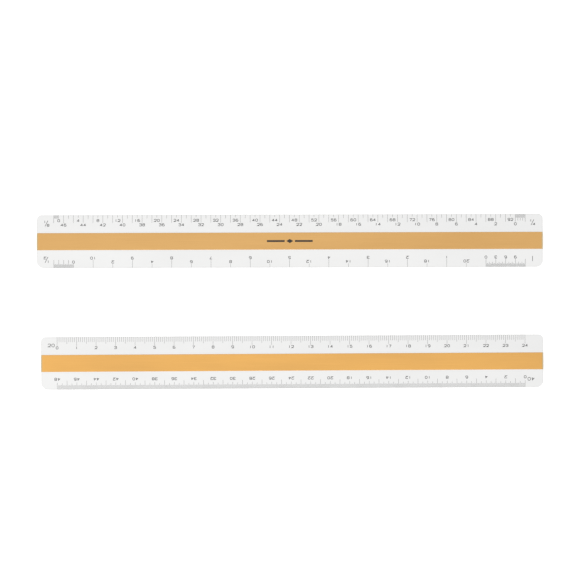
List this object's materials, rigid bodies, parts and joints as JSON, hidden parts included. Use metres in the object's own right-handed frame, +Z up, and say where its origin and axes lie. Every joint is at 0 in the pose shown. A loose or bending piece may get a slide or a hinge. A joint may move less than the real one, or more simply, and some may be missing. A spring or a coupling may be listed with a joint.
{
  "type": "flat bevelled scale ruler",
  "caption": "Flat drafting scale ruler: a metal core between bevelled white plastic wings, with architect's scales printed on the front face and engineer's scales on the back.",
  "frame": {"origin": "middle of the rule's length and width, on the core's back face, which the rule lies on", "axes": "+X along the rule, towards the right-hand end of the architect's face; +Y across it, towards the edge with the 1/8 and 1/4 scales; +Z up, out of the architect's face"},
  "size_m": [0.327, 0.0342, 0.003],
  "materials": {
    "core_metal": "gold-anodised, brushed lengthwise, satin",
    "wing_plastic": "white, semi-gloss",
    "scale_ink": "printed ink, near black",
    "core_ink": "printed ink, near black"
  },
  "bodies": {
    "root": {"core": "core_metal", "rear_wing": "wing_plastic", "front_wing": "wing_plastic", "eighth_quarter_graduations": "scale_ink", "half_one_graduations": "scale_ink", "twenty_graduations": "scale_ink", "forty_graduations": "scale_ink", "eighth_numerals": "scale_ink", "quarter_numerals": "scale_ink", "half_numerals": "scale_ink", "one_numerals": "scale_ink", "twenty_numerals": "scale_ink", "forty_numerals": "scale_ink", "centre_ornament": "core_ink"}
  },
  "joints": []
}
